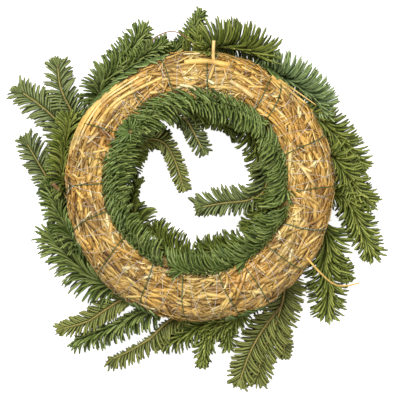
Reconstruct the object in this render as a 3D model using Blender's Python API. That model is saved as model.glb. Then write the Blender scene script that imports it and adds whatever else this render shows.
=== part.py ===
"""An advent wreath without candles: sprays of noble fir wired round a straw ring.

It lies face down, with the straw back up and the foliage of its face on the surface.
Metres, +Z up. The origin is the middle of its outline, on the surface.

Places on the ring are given as (angle, radius, height): the angle in degrees about the
ring's middle, counter-clockwise from +X as seen from the back. Round the straw tube, a
section angle of 0 points outward, 90 up at the back, 180 to the hole and 270 to the face.
Every spray points clockwise as seen from the back, so angles fall along it.
"""

import collections
import math
import random

import bpy
import numpy as np
from mathutils.bvhtree import BVHTree

SEED = 24

# The straw ring: outside diameter 250 mm, straw 50 mm thick
RING_X = 0.0023
RING_Y = 0.0113
RING_RADIUS = 0.100
TUBE_RADIUS = 0.025
TUBE_HEIGHT = 0.057
RING_STEPS = 64
TUBE_SIDES = 16
RELIEF = 0.0007
FLAT_FROM = -16.0
FLAT_TO = -4.0
RIDGES = (7, 4, 19, -3)

# Single straws on the back, fused to the ring
STRAW_RADIUS = 0.0018
STRAW_LIFT = -0.0004
STRAW_SIDES = 5
STRAWS_EVERY = 30
CLEAR_OF_FLAT = 24

# The winding wire: the angle at the outer and at the inner edge of each turn over the back
WIRE_TURNS = (
    (53.5, 40.6),
    (22.9, 19.2),
    (1.3, -4.8),
    (-18.5, -25.6),
    (-38.0, -43.5),
    (-58.5, -61.2),
    (-71.6, -80.2),
    (-94.9, -103.7),
    (-115.3, -123.4),
    (-137.4, -149.4),
    (-160.5, -167.9),
    (-178.3, -184.6),
    (-206.3, -217.7),
    (-233.1, -236.5),
    (-252.6, -255.5),
    (-272.2, -276.1),
    (-302.7, -306.7),
)
WIRE_RADIUS = 0.00045
WIRE_SECTIONS = (0, 20, 95, 120, 150, 200, 335, 360)
WIRE_LIFTS = (0.0040, 0.0030, 0.0030, 0.0059, 0.0061, 0.0051, 0.0051, 0.0040)
WIRE_HALF_TURN = 5
WIRE_SIDES = 4

# Twigs are three-sided, with a bare flat side to the back and an edge to the face
TWIG_ROOT = 0.0016
TWIG_TIP = 0.0010
TWIG_STEP = 0.0052
GAP = 0.0003
SEAT_SAG = 0.00015
STEM_RUN = 8
BARE_RINGS = 3
STEM_ROWS = 3
ON_STRAW = 0.028
TURN_RUN = 0.014
STEM_SHIFTS = (0, 3, -3, 6, -6, 9, -9, 12, -12)
STEM_RUNS = (STEM_RUN, STEM_RUN + 4, STEM_RUN - 3)
STEM_LEANS = (0, -8, 8, -16, 16)

# Needles are three-sided and blunt; a rod of NEEDLE_ROD radius stands for one in tests.
# One that isn't clear is tried at these parts of its length and turned by these angles
NEEDLE_ROD = 0.0014
NEEDLE_PARTS = (1, 0.85, 0.7, 0.55)
NEEDLE_TURNS = (0, -10, 10, -22, 20, -34)
TIP_PARTS = (0.45, 0.35, 0.25, 0.15)
TURN_SPREAD = 7
SWEEP_SPREAD = 3
LENGTH_SPREAD = (0.90, 1.06)
TIP_SHORTER = 0.22
TIP_CLOSING = 26
TIP_FROM = 0.75
NEEDLE_BASE = 0.0010
NEEDLE_FREE = 0.0045
NEEDLE_CAP = 0.36
OWN_NEEDLES_APART = 0.0021
SHORTEST_NEEDLE = 0.007
TIP_ROOM = 0.005
NEEDLE_SIDES = ((0, 1, 4), (0, 4, 3), (1, 2, 5), (1, 5, 4), (2, 0, 3), (2, 3, 5), (3, 4, 5))


def ring_point(angle, radius, height):
    turn = math.radians(angle)
    return np.array(
        [RING_X + radius * math.cos(turn), RING_Y + radius * math.sin(turn), height]
    )


def round_tube(angle, section, distance):
    """The point this far from the middle line of the straw tube."""
    lean = math.radians(section)
    return ring_point(
        angle,
        RING_RADIUS + distance * math.cos(lean),
        TUBE_HEIGHT + distance * math.sin(lean),
    )


def from_tube(points):
    """Vectors from the straw tube's middle line to these points."""
    flat = points - np.array([RING_X, RING_Y, TUBE_HEIGHT])
    middle = flat * [1, 1, 0]
    middle *= RING_RADIUS / np.linalg.norm(middle, axis=-1, keepdims=True)
    return flat - middle


def unit(vectors):
    return vectors / np.linalg.norm(vectors, axis=-1, keepdims=True)


def smooth(points, step):
    """Points about this step apart on a Catmull-Rom curve through the given points."""
    points = np.array(points)
    first = 2 * points[0] - points[1]
    last = 2 * points[-1] - points[-2]
    knots = np.vstack([first, points, last])
    along = np.linspace(0, 1, 12, endpoint=False)[:, None]
    pieces = []
    for a, b, c, d in zip(knots, knots[1:], knots[2:], knots[3:]):
        bend = 2 * a - 5 * b + 4 * c - d
        twist = 3 * b - a - 3 * c + d
        pieces.append(b + 0.5 * along * (c - a + along * (bend + along * twist)))
    fine = np.vstack([*pieces, points[-1:]])
    way = np.concatenate([[0], np.cumsum(np.linalg.norm(np.diff(fine, axis=0), axis=1))])
    count = max(3, round(way[-1] / step) + 1)
    even = np.linspace(0, way[-1], count)
    return np.stack([np.interp(even, way, fine[:, axis]) for axis in range(3)], axis=1)


def segment_distances(start, end, starts, ends):
    """Shortest distances from one segment to each of many."""
    own = end - start
    others = ends - starts
    between = start - starts
    own_square = own @ own
    squares = np.einsum("ij,ij->i", others, others)
    along_others = np.einsum("ij,ij->i", others, between)
    along_own = between @ own
    both = others @ own
    spread = np.maximum(own_square * squares - both * both, 1e-18)
    s = np.clip((both * along_others - along_own * squares) / spread, 0, 1)
    t = np.clip((both * s + along_others) / squares, 0, 1)
    s = np.clip((both * t - along_own) / own_square, 0, 1)
    gaps = between + s[:, None] * own - t[:, None] * others
    return np.linalg.norm(gaps, axis=1)


class Rods:
    """The rods in place so far, each a segment with a radius and its owner's number."""

    def __init__(self, room=8000):
        self.starts = np.zeros((room, 3))
        self.ends = np.zeros((room, 3))
        self.radii = np.zeros(room)
        self.owners = np.zeros(room, int)
        self.count = 0
        self.last_owner = -1
        self.solids = None

    def new_owner(self):
        self.last_owner += 1
        return self.last_owner

    def add(self, start, end, radius, owner):
        self.starts[self.count] = start
        self.ends[self.count] = end
        self.radii[self.count] = radius
        self.owners[self.count] = owner
        self.count += 1

    def add_line(self, points, radius, owner):
        for start, end in zip(points, points[1:]):
            self.add(start, end, radius, owner)

    def keep_solids(self, things):
        """A search tree of whole solids, for what a rod can't stand for."""
        corners = []
        faces = []
        for thing in things:
            first = len(corners)
            corners += [tuple(vert.co) for vert in thing.data.vertices]
            faces += [[first + k for k in face.vertices] for face in thing.data.polygons]
        self.solids = BVHTree.FromPolygons(corners, faces)

    def room_round(self, start, end, radius, owner=-1):
        """The smallest gap round this rod to the rods of other owners."""
        used = slice(0, self.count)
        gaps = segment_distances(start, end, self.starts[used], self.ends[used])
        gaps -= self.radii[used] + radius
        gaps[self.owners[used] == owner] = 1
        return gaps.min(initial=1)


def straw_surface(section):
    """The greatest distance of the straw's surface from its middle line."""
    return TUBE_RADIUS + RELIEF * max(0, math.sin(math.radians(section)))


def seat(angle, section, radius=TWIG_ROOT):
    """Where a twig's middle lies when its flat side rests on the straw."""
    distance = straw_surface(section) + GAP + SEAT_SAG + 0.5 * radius
    return round_tube(angle, section, distance)


def make_mesh(name, points, faces):
    mesh = bpy.data.meshes.new(name)
    mesh.from_pydata([tuple(point) for point in points], [], faces)
    mesh.validate()
    return mesh


def add_object(name, mesh, material):
    thing = bpy.data.objects.new(name, mesh)
    bpy.context.scene.collection.objects.link(thing)
    mesh.materials.append(material)
    mesh.shade_smooth()
    mesh.set_sharp_from_angle(angle=math.radians(40))
    return thing


def make_material(name, color, roughness, metallic=0.0):
    material = bpy.data.materials.new(name)
    material.use_nodes = True
    shader = material.node_tree.nodes["Principled BSDF"]
    shader.inputs["Base Color"].default_value = (*color, 1)
    shader.inputs["Roughness"].default_value = roughness
    shader.inputs["Metallic"].default_value = metallic
    return material


def join(name, meshes, material, solver):
    """One object: the union of closed meshes that overlap."""
    main = add_object(name, meshes[0], material)
    if len(meshes) == 1:
        return main
    others = bpy.data.collections.new(name + "_parts")
    for number, mesh in enumerate(meshes[1:]):
        others.objects.link(bpy.data.objects.new(f"{name}_part_{number}", mesh))
    union = main.modifiers.new("Union", "BOOLEAN")
    union.operation = "UNION"
    union.solver = solver
    union.operand_type = "COLLECTION"
    union.collection = others
    graph = bpy.context.evaluated_depsgraph_get()
    joined = bpy.data.meshes.new_from_object(main.evaluated_get(graph))
    main.modifiers.remove(union)
    main.data = joined
    joined.shade_smooth()
    joined.set_sharp_from_angle(angle=math.radians(40))
    for part in list(others.objects):
        bpy.data.objects.remove(part)
    bpy.data.collections.remove(others)
    return main


def tube_mesh(name, points, radius, sides):
    """A closed tube of flat sides along these points."""
    points = np.array(points)
    ways = unit(np.gradient(points, axis=0))
    up = unit(from_tube(points))
    side = unit(np.cross(ways, up))
    up = np.cross(side, ways)
    verts = []
    for number, point in enumerate(points):
        for k in range(sides):
            turn = math.tau * (k + 0.5) / sides
            verts.append(
                point + radius * (math.cos(turn) * up[number] + math.sin(turn) * side[number])
            )
    faces = [tuple(reversed(range(sides)))]
    for row in range(len(points) - 1):
        for k in range(sides):
            a = row * sides + k
            b = row * sides + (k + 1) % sides
            faces.append((a, b, b + sides, a + sides))
    faces.append(tuple(range(len(verts) - sides, len(verts))))
    return make_mesh(name, verts, faces)


def ring_mesh():
    """The bundled straw: a tube round the ring, ridged where straws lie on its back."""
    verts = []
    for row in range(RING_STEPS):
        angle = 360 * row / RING_STEPS
        on_flat = FLAT_FROM <= (angle + 180) % 360 - 180 <= FLAT_TO
        for k in range(TUBE_SIDES):
            section = 360 * k / TUBE_SIDES
            ridge = math.sin(math.radians(RIDGES[0] * angle + RIDGES[1] * section))
            ridge *= math.cos(math.radians(RIDGES[2] * angle + RIDGES[3] * section))
            back = max(0, math.sin(math.radians(section)))
            rise = 0 if on_flat else RELIEF * ridge * back
            point = round_tube(angle, section, TUBE_RADIUS + rise)
            if on_flat:
                beside_top = math.radians(90 - 360 / TUBE_SIDES)
                point[2] = min(point[2], TUBE_HEIGHT + TUBE_RADIUS * math.sin(beside_top))
            verts.append(point)
    faces = []
    for row in range(RING_STEPS):
        after = (row + 1) % RING_STEPS
        for k in range(TUBE_SIDES):
            beside = (k + 1) % TUBE_SIDES
            a = row * TUBE_SIDES + k
            b = row * TUBE_SIDES + beside
            c = after * TUBE_SIDES + beside
            d = after * TUBE_SIDES + k
            faces += [(a, d, c), (a, c, b)]
    return make_mesh("straw_ring", verts, faces)


def standing_straws():
    """The straws that stand out from the back, as points along each."""
    straws = [
        # A straw end that stands out over the outer edge at the top
        [
            round_tube(82, 58, TUBE_RADIUS),
            round_tube(84, 46, 0.0290),
            ring_point(84.5, 0.136, 0.080),
        ],
        # A thick straw along the top of the ring, with its cut end free
        [
            round_tube(95, 24, TUBE_RADIUS),
            round_tube(87, 28, 0.0254),
            round_tube(79, 34, 0.0264),
        ],
        [
            round_tube(72, 66, TUBE_RADIUS),
            round_tube(64, 74, 0.0250),
            round_tube(56, 82, 0.0256),
        ],
        # Straws that leave the ring at the upper right
        [
            round_tube(56, 22, TUBE_RADIUS),
            ring_point(46, 0.1262, 0.063),
            ring_point(35, 0.1325, 0.066),
        ],
        # The loose stalk at the lower right
        [
            round_tube(-33.5, 40, 0.0240),
            ring_point(-35.5, 0.137, 0.071),
            ring_point(-36.0, 0.154, 0.068),
            ring_point(-34.0, 0.165, 0.066),
            ring_point(-31.0, 0.174, 0.064),
        ],
    ]
    draw = random.Random(SEED)
    for start in range(0, 360, STRAWS_EVERY):
        angle = start + draw.uniform(0, 12)
        section = draw.uniform(45, 105)
        drift = draw.uniform(-12, 12)
        run = draw.uniform(16, 24)
        from_flat = angle - 0.5 * run - 0.5 * (FLAT_FROM + FLAT_TO)
        if abs((from_flat + 180) % 360 - 180) < CLEAR_OF_FLAT:
            continue
        straws.append(
            [
                round_tube(angle - part * run, section + part * drift, TUBE_RADIUS + STRAW_LIFT)
                for part in (0, 0.33, 0.67, 1)
            ]
        )
    return straws


def make_straw_ring(rods, material):
    owner = rods.new_owner()
    meshes = [ring_mesh()]
    for number, points in enumerate(standing_straws()):
        rods.add_line(points, STRAW_RADIUS, owner)
        meshes.append(tube_mesh(f"straw_{number}", points, STRAW_RADIUS, STRAW_SIDES))
    return join("straw_ring", meshes, material, "MANIFOLD")


def wire_points():
    """One spiral: over the back from each outer angle to its inner one, then on round the face."""
    stops = []
    for outer, inner in WIRE_TURNS:
        stops += [outer, inner]
    points = []
    for half, (angle, after) in enumerate(zip(stops, stops[1:])):
        for k in range(WIRE_HALF_TURN):
            part = k / WIRE_HALF_TURN
            section = 180 * (half % 2 + part)
            lift = np.interp(section, WIRE_SECTIONS, WIRE_LIFTS)
            points.append(round_tube(angle + part * (after - angle), section, TUBE_RADIUS + lift))
    points.append(round_tube(stops[-1], 180, TUBE_RADIUS + WIRE_LIFTS[-2]))
    return np.array(points)


def make_wire(rods, material):
    points = wire_points()
    rods.add_line(points, WIRE_RADIUS + GAP, rods.new_owner())
    mesh = tube_mesh("winding_wire", points, WIRE_RADIUS, WIRE_SIDES)
    return add_object("winding_wire", mesh, material)


class Shoot:
    """One twig and its needles."""

    def __init__(self, owner, kind, route, bare):
        self.owner = owner
        self.kind = kind
        self.bare = bare
        self.centres = smooth(route, TWIG_STEP)
        self.ways = unit(np.gradient(self.centres, axis=0))
        out = from_tube(self.centres)
        free = np.clip((np.linalg.norm(out, axis=1) - ON_STRAW) / TURN_RUN, 0, 1)[:, None]
        across = np.abs(np.sum(unit(out) * self.ways, axis=1, keepdims=True))
        away = unit((1 - free) * (1 - across) * unit(out) + (free + across) * [0, 0, -1])
        for row in range(STEM_ROWS, len(away)):
            away[row] = unit(away[row] + away[row - 1])
        self.side = unit(np.cross(self.ways, away))
        self.away = np.cross(self.side, self.ways)
        rows = len(self.centres)
        self.radii = np.linspace(TWIG_ROOT, TWIG_TIP, rows)
        self.verts = [self.corner(row, k) for row in range(rows) for k in range(3)]
        self.rods = []
        self.bases = set()
        self.faces = []
        self.tree = None
        self.tree_faces = []

    def toward(self, row, turn):
        lean = math.radians(turn)
        return math.cos(lean) * self.away[row] + math.sin(lean) * self.side[row]

    def corner(self, row, k):
        return self.centres[row] + self.radii[row] * self.toward(row, 120 * k)

    def halves(self, row, side):
        """The two triangles of a cell: the one by the edge, then the one by the flat back."""
        edge = 3 * row
        back = 3 * row + (1 if side > 0 else 2)
        if side > 0:
            return (edge, back, edge + 3), (back, back + 3, edge + 3)
        return (back, edge, edge + 3), (back, edge + 3, back + 3)

    def twig_faces(self):
        faces = [(2, 1, 0)]
        for row in range(len(self.centres) - 1):
            a = 3 * row
            faces += [(a + 1, a + 2, a + 5), (a + 1, a + 5, a + 4)]
            for side in (1, -1):
                faces += [base for base in self.halves(row, side) if base not in self.bases]
        return faces

    def needle_corners(self, base, end, slim=1, lift=0):
        """The six corners of a needle between a triangle of the twig and its end."""
        corners = np.array([self.verts[k] for k in base])
        middle = corners.mean(axis=0)
        root = middle + slim * (corners - middle) + lift * unit(end - middle)
        cap = end + slim * NEEDLE_CAP * (corners - middle)
        cap[:, 2] = np.maximum(cap[:, 2], 0)
        return np.vstack([root, cap])

    def add_needle(self, base, end):
        first = len(self.verts)
        self.verts.extend(self.needle_corners(base, end)[3:])
        ends = (first, first + 1, first + 2)
        for k in range(3):
            after = (k + 1) % 3
            self.faces += [(base[k], base[after], ends[after]), (base[k], ends[after], ends[k])]
        self.faces.append(ends)
        self.bases.add(base)
        self.tree = None

    def meets_solids(self, rods, base, end):
        """Whether this needle, drawn fatter, meets the straw or the wire."""
        corners = self.needle_corners(base, end, 1.25)
        needle = BVHTree.FromPolygons([tuple(point) for point in corners], NEEDLE_SIDES)
        return bool(needle.overlap(rods.solids))

    def crosses_itself(self, base, end):
        """Whether this needle, drawn a little slimmer, cuts the twig or an earlier needle."""
        if self.tree is None:
            self.tree_faces = self.twig_faces() + self.faces
            corners = [tuple(point) for point in self.verts]
            self.tree = BVHTree.FromPolygons(corners, self.tree_faces)
        slim = self.needle_corners(base, end, 0.97, 0.0001)
        needle = BVHTree.FromPolygons([tuple(point) for point in slim], NEEDLE_SIDES)
        if needle.overlap(self.tree):
            return True
        true_size = self.needle_corners(base, end)
        needle = BVHTree.FromPolygons([tuple(point) for point in true_size], NEEDLE_SIDES)
        for own, other in needle.overlap(self.tree):
            roots = {base[k] for k in NEEDLE_SIDES[own] if k < 3}
            if not roots & set(self.tree_faces[other]):
                return True
        return False

    def choose_tip(self, rods):
        """The needle that carries on the twig, shorter where something is in its way."""
        start = self.centres[-1]
        last = len(self.verts) - 3
        base = (last, last + 1, last + 2)
        for part in TIP_PARTS:
            end = start + self.ways[-1] * part * self.kind.length
            if rods.room_round(start, end, TWIG_TIP, self.owner) < GAP:
                continue
            if not self.meets_solids(rods, base, end):
                break
        rods.add(start, end, TWIG_TIP, self.owner)
        self.add_needle(base, end)

    def grow(self, rods, draw):
        for row in range(self.bare, len(self.centres) - 1):
            for side in (1, -1):
                for half in (1, 0):
                    if draw.random() < self.kind.chances[half]:
                        self.grow_needle(rods, draw, row, side, half)

    def grow_needle(self, rods, draw, row, side, half):
        """One needle, turned or shortened until it is clear, or none."""
        base = self.halves(row, side)[half]
        middle = np.mean([self.verts[k] for k in base], axis=0)
        to_tip = (row + 1) / (len(self.centres) - 1)
        closing = TIP_CLOSING * max(0, to_tip - TIP_FROM) / (1 - TIP_FROM)
        turn = self.kind.fan[half] + draw.uniform(-TURN_SPREAD, TURN_SPREAD)
        sweep = self.kind.sweep - closing + draw.uniform(-SWEEP_SPREAD, SWEEP_SPREAD)
        length = self.kind.length * draw.uniform(*LENGTH_SPREAD) * (1 - TIP_SHORTER * to_tip**4)
        if side < 0:
            length *= self.kind.far_side
        lean = math.radians(sweep)
        for shorter in NEEDLE_PARTS:
            for shift in NEEDLE_TURNS:
                way = math.cos(lean) * self.ways[row]
                way = way + math.sin(lean) * self.toward(row, side * (turn + shift))
                end = middle + way * length * shorter
                if end[2] < 0:
                    end = middle + (end - middle) * (middle[2] / (middle[2] - end[2]))
                if not self.is_clear(rods, middle, end):
                    continue
                if not self.meets_solids(rods, base, end) and not self.crosses_itself(base, end):
                    way = unit(end - middle)
                    rods.add(middle + way * NEEDLE_BASE, end, NEEDLE_ROD, self.owner)
                    self.rods.append((middle + way * NEEDLE_FREE, end))
                    self.add_needle(base, end)
                    return

    def is_clear(self, rods, middle, end):
        reach = np.linalg.norm(end - middle)
        if reach < SHORTEST_NEEDLE:
            return False
        way = (end - middle) / reach
        start = middle + way * NEEDLE_FREE
        samples = start + np.linspace(0, 1, 6)[:, None] * (end - start)
        out = from_tube(samples)
        limit = TUBE_RADIUS + RELIEF * (out[:, 2] > 0) + GAP + NEEDLE_ROD
        if (np.linalg.norm(out, axis=1) < limit).any():
            return False
        if rods.room_round(middle + way * NEEDLE_BASE, end, NEEDLE_ROD, self.owner) < GAP:
            return False
        if not self.rods:
            return True
        own = np.array(self.rods)
        gaps = segment_distances(start, end, own[:, 0], own[:, 1])
        return gaps.min() > OWN_NEEDLES_APART

    def mesh(self, name):
        return make_mesh(name, self.verts, self.twig_faces() + self.faces)


# How needles stand on a twig: their length, their angle from the twig, the angles from its
# edge of the two needles of a cell, how often each is there, and the length on the far side
Kind = collections.namedtuple("Kind", "length sweep fan chances far_side")


def sprig(length, far_side=1):
    return Kind(length, 60, (30, 80), (0.14, 1), far_side)


def frond(length, far_side=1):
    return Kind(length, 64, (28, 74), (0.16, 1), far_side)


def comb(length):
    return Kind(length, 75, (18, 56), (1, 0.5), 1)


# A stem starts on the straw at an angle and a section, and goes on through its points
Stem = collections.namedtuple("Stem", "kind start section points")

# A fork starts part of the way along the spray's first twig
Fork = collections.namedtuple("Fork", "kind part points")

# The sprays that reach out past the straw
OUTER = (
    [
        Stem(
            sprig(0.017), 183, 300,
            [(168, 0.125, 0.036), (156, 0.146, 0.036), (153, 0.169, 0.034), (152, 0.190, 0.031)],
        )
    ],
    [
        Stem(
            sprig(0.018), 164, 312,
            [(151, 0.134, 0.036), (147, 0.151, 0.037), (144, 0.163, 0.036), (140, 0.175, 0.034)],
        )
    ],
    [
        Stem(
            frond(0.022), 148, 320,
            [(136, 0.131, 0.040), (127, 0.136, 0.038), (118, 0.143, 0.034), (111, 0.154, 0.029)],
        ),
        Fork(
            sprig(0.014), 0.45,
            [(120, 0.131, 0.041), (112, 0.135, 0.043), (105, 0.138, 0.043)],
        ),
    ],
    [
        Stem(
            frond(0.014), 120, 300,
            [(108, 0.126, 0.036), (99, 0.132, 0.033), (94, 0.144, 0.030), (90, 0.162, 0.027)],
        )
    ],
    [
        Stem(
            comb(0.026), 101, 344,
            [(84, 0.1310, 0.051), (77, 0.1335, 0.051), (71, 0.1345, 0.050), (65, 0.1345, 0.048)],
        )
    ],
    [
        Stem(
            comb(0.025), 70, 338,
            [(53, 0.129, 0.047), (46, 0.132, 0.047), (40, 0.134, 0.046), (34, 0.135, 0.044)],
        )
    ],
    [
        Stem(
            frond(0.022), 45, 325,
            [(30, 0.129, 0.038), (22, 0.136, 0.036), (15, 0.143, 0.034), (9, 0.149, 0.032)],
        )
    ],
    [
        Stem(
            frond(0.020), 24, 335,
            [(13, 0.128, 0.044), (6, 0.137, 0.042), (0, 0.145, 0.038), (-4, 0.155, 0.034)],
        )
    ],
    [
        Stem(
            frond(0.021), 6, 312,
            [(-2, 0.131, 0.036), (-8, 0.145, 0.034), (-15, 0.158, 0.031), (-20, 0.171, 0.028)],
        )
    ],
    [
        Stem(
            frond(0.023), -8, 325,
            [(-22, 0.129, 0.038), (-29, 0.135, 0.036), (-36, 0.149, 0.032), (-43, 0.165, 0.028)],
        )
    ],
    [
        Stem(
            sprig(0.018), -36, 308,
            [(-52, 0.129, 0.036), (-62, 0.150, 0.034), (-69, 0.167, 0.031), (-73, 0.187, 0.027)],
        ),
        Fork(
            sprig(0.018), 0.42,
            [(-66, 0.147, 0.036), (-73, 0.163, 0.036), (-78, 0.185, 0.033)],
        ),
        Fork(
            sprig(0.011), 0.34,
            [(-59, 0.148, 0.031), (-61, 0.163, 0.027), (-63, 0.177, 0.023)],
        ),
    ],
    [
        Stem(
            frond(0.019), -58, 318,
            [(-74, 0.127, 0.040), (-84, 0.135, 0.038), (-88, 0.149, 0.034), (-89, 0.163, 0.029)],
        ),
        Fork(
            frond(0.018), 0.40,
            [(-90, 0.132, 0.036), (-97, 0.142, 0.031), (-103, 0.150, 0.026)],
        ),
    ],
    [
        Stem(
            sprig(0.016, 0.3), -88, 315,
            [(-103, 0.130, 0.037), (-108, 0.150, 0.035), (-113, 0.168, 0.032), (-117, 0.183, 0.028)],
        )
    ],
    [
        Stem(
            frond(0.016, 0.3), -104, 310,
            [(-115, 0.130, 0.035), (-121, 0.151, 0.033), (-125, 0.167, 0.030), (-128, 0.182, 0.026)],
        )
    ],
    [
        Stem(
            sprig(0.012), -115, 330,
            [(-125, 0.131, 0.041), (-128, 0.150, 0.041), (-130, 0.166, 0.039), (-134, 0.186, 0.036)],
        )
    ],
    [
        Stem(
            frond(0.025), -122, 322,
            [(-137, 0.130, 0.038), (-146, 0.136, 0.036), (-154, 0.141, 0.033), (-160, 0.147, 0.028)],
        )
    ],
    [
        Stem(
            frond(0.018), -146, 336,
            [(-157, 0.128, 0.044), (-166, 0.133, 0.042), (-173, 0.137, 0.038), (-179, 0.141, 0.034)],
        )
    ],
    [
        Stem(
            sprig(0.015), -158, 300,
            [(-172, 0.129, 0.030), (-181, 0.141, 0.025), (-189, 0.156, 0.023), (-194, 0.169, 0.021)],
        )
    ],
    [
        Stem(
            frond(0.020), 188, 336,
            [(178, 0.128, 0.045), (169, 0.131, 0.046), (161, 0.133, 0.047), (154, 0.136, 0.048)],
        )
    ],
)

# The three sprigs that reach far into the hole
SPRIGS = (
    [
        Stem(
            sprig(0.010), 168, 200,
            [
                (151, 0.0735, 0.047), (140, 0.0680, 0.046), (132, 0.0595, 0.046),
                (129, 0.0500, 0.045), (133, 0.0350, 0.044), (144, 0.0245, 0.043),
                (178, 0.0155, 0.041),
            ],
        )
    ],
    [
        Stem(
            sprig(0.016), 42, 200,
            [
                (25, 0.0735, 0.047), (14, 0.0670, 0.046), (3, 0.0630, 0.045),
                (-7, 0.0580, 0.044), (-17, 0.0450, 0.043), (-32, 0.0285, 0.041),
                (-84, 0.0190, 0.040),
            ],
        )
    ],
    [
        Stem(
            sprig(0.012), 126, 195,
            [
                (111, 0.0725, 0.050), (102, 0.0645, 0.050), (97, 0.0530, 0.050),
                (92, 0.0430, 0.049), (86, 0.0360, 0.048),
            ],
        )
    ],
)

# Sprays in rows round the ring: the angle where each stem starts and the part of their
# length that its needles have on the far side, then what the row shares: how needles
# stand, the section where a stem starts, the rings left bare, points as (turn, radius, height)
Row = collections.namedtuple("Row", "stems kind section bare points")
ROWS = {
    "inner_upper_spray": Row(
        ((96, 0.5), (45, 0.35), (-7, 0.2), (-58, 0.2), (-110, 0.35), (-161, 0.5), (-213, 0.5)),
        Kind(0.026, 66, (30, 72), (1, 0.8), 1), 137, 2,
        ((-16, 0.0803, 0.0753), (-30, 0.0803, 0.0753), (-46, 0.0803, 0.0753)),
    ),
    "inner_lower_spray": Row(
        ((112, 1), (66, 1), (14, 1), (-34, 1), (-82, 1), (-130, 1), (-178, 1)),
        frond(0.020), 210, 3,
        ((-20, 0.0715, 0.039), (-35, 0.066, 0.036), (-50, 0.060, 0.034)),
    ),
    "face_spray": Row(
        ((84, 1), (44, 1), (4, 1), (-36, 1), (-76, 1), (-116, 1), (-156, 1), (-196, 1), (-236, 1)),
        frond(0.025), 268, 3,
        ((-18, 0.101, 0.0250), (-32, 0.103, 0.0200), (-46, 0.100, 0.0160)),
    ),
}
FACE_STAGGER = 0.010

# Sprays that show the pale under side of their needles, and those that lie in the shade
PALE_SPRAYS = (
    "outer_spray_01", "outer_spray_02", "outer_spray_06", "outer_spray_11",
    "inner_sprig_1", "inner_sprig_2",
)
DARK_SPRAYS = ("outer_spray_18", "inner_sprig_3", "inner_lower_spray", "face_spray")


def routes_to_try(start, section, points, shift_all):
    """The routes to try: a stem seated on the straw, then the points, the plain one first."""
    for shift in STEM_SHIFTS:
        for run in STEM_RUNS:
            for lean in STEM_LEANS:
                stem = [
                    seat(start + shift - part * run, section + lean) for part in (0, 0.5, 1)
                ]
                moved = shift if shift_all else 0
                yield stem + [ring_point(angle + moved, *rest) for angle, *rest in points]


def twig_room(rods, route):
    """The smallest gap round a twig along this route, to other things and to the straw."""
    centres = smooth(route, TWIG_STEP)
    beyond = centres[-1] + unit(centres[-1] - centres[-2]) * TIP_ROOM
    centres = np.vstack([centres, beyond])
    room = min(
        rods.room_round(start, end, TWIG_ROOT)
        for start, end in zip(centres, centres[1:])
    )
    out = np.linalg.norm(from_tube(centres), axis=1)
    return min(room, out.min() - TUBE_RADIUS - 0.5 * TWIG_ROOT + 0.0001)


def lay_twig(rods, routes):
    """The first route that is clear of all else, or else the clearest."""
    best = None
    for route in routes:
        room = twig_room(rods, route)
        if best is None or room > best[0]:
            best = (room, route)
        if room > GAP:
            break
    return best[1]


def make_shoots(rods, twigs, bare, shift_all):
    """A spray's twigs, laid clear of what is there, each with its end needle."""
    shoots = []
    for twig in twigs:
        if isinstance(twig, Fork):
            main = shoots[0].centres
            route = [main[round(twig.part * (len(main) - 1))]]
            route += [ring_point(*point) for point in twig.points]
        else:
            tries = routes_to_try(twig.start, twig.section, twig.points, shift_all)
            route = lay_twig(rods, tries)
        first = 1 if isinstance(twig, Fork) else bare
        shoot = Shoot(rods.new_owner(), twig.kind, route, first)
        rods.add_line(shoot.centres, TWIG_ROOT, shoot.owner)
        shoot.choose_tip(rods)
        shoots.append(shoot)
    return shoots


def row_stem(row, start, far_side, stagger):
    points = [(start + turn, radius + stagger, height) for turn, radius, height in row.points]
    return Stem(row.kind._replace(far_side=far_side), start, row.section, points)


def lay_sprays(rods):
    """Every spray's twigs, by name, before any needle grows."""
    sprays = {}
    for number, twigs in enumerate(OUTER):
        name = f"outer_spray_{number + 1:02d}"
        sprays[name] = make_shoots(rods, twigs, BARE_RINGS, False)
    for number, twigs in enumerate(SPRIGS):
        name = f"inner_sprig_{number + 1}"
        sprays[name] = make_shoots(rods, twigs, BARE_RINGS, False)
    for kind, row in ROWS.items():
        for number, (start, far_side) in enumerate(row.stems):
            stagger = FACE_STAGGER * (number % 2 - 0.5) if kind == "face_spray" else 0
            name = f"{kind}_{number + 1}"
            stem = row_stem(row, start, far_side, stagger)
            sprays[name] = make_shoots(rods, [stem], row.bare, True)
    return sprays


def main():
    for thing in list(bpy.data.objects):
        bpy.data.objects.remove(thing)
    straw = make_material("straw", (0.62, 0.42, 0.17), 0.75)
    lacquer = make_material("green_wire", (0.05, 0.10, 0.04), 0.45, 0.2)
    dark = make_material("fir_dark", (0.045, 0.080, 0.015), 0.6)
    mid = make_material("fir_mid", (0.085, 0.150, 0.030), 0.6)
    pale = make_material("fir_pale", (0.200, 0.270, 0.110), 0.6)
    rods = Rods()
    rods.keep_solids([make_straw_ring(rods, straw), make_wire(rods, lacquer)])
    sprays = lay_sprays(rods)
    draw = random.Random(SEED)
    for shoots in sprays.values():
        for shoot in shoots:
            shoot.grow(rods, draw)
    for name, shoots in sprays.items():
        green = pale if name.startswith(PALE_SPRAYS) else mid
        green = dark if name.startswith(DARK_SPRAYS) else green
        join(name, [shoot.mesh(f"{name}_{k}") for k, shoot in enumerate(shoots)], green, "MANIFOLD")


main()
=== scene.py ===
"""The looks of an advent wreath: sprays of noble fir wired round a straw ring, its back up.

Metres, +Z up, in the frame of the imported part. Places on the ring are given as
(angle, radius, height), with the angle in degrees counter-clockwise from +X. Round the
straw tube, a section angle of 0 points outward, 90 up, 180 to the hole and 270 down.
"""

import collections
import math

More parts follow.
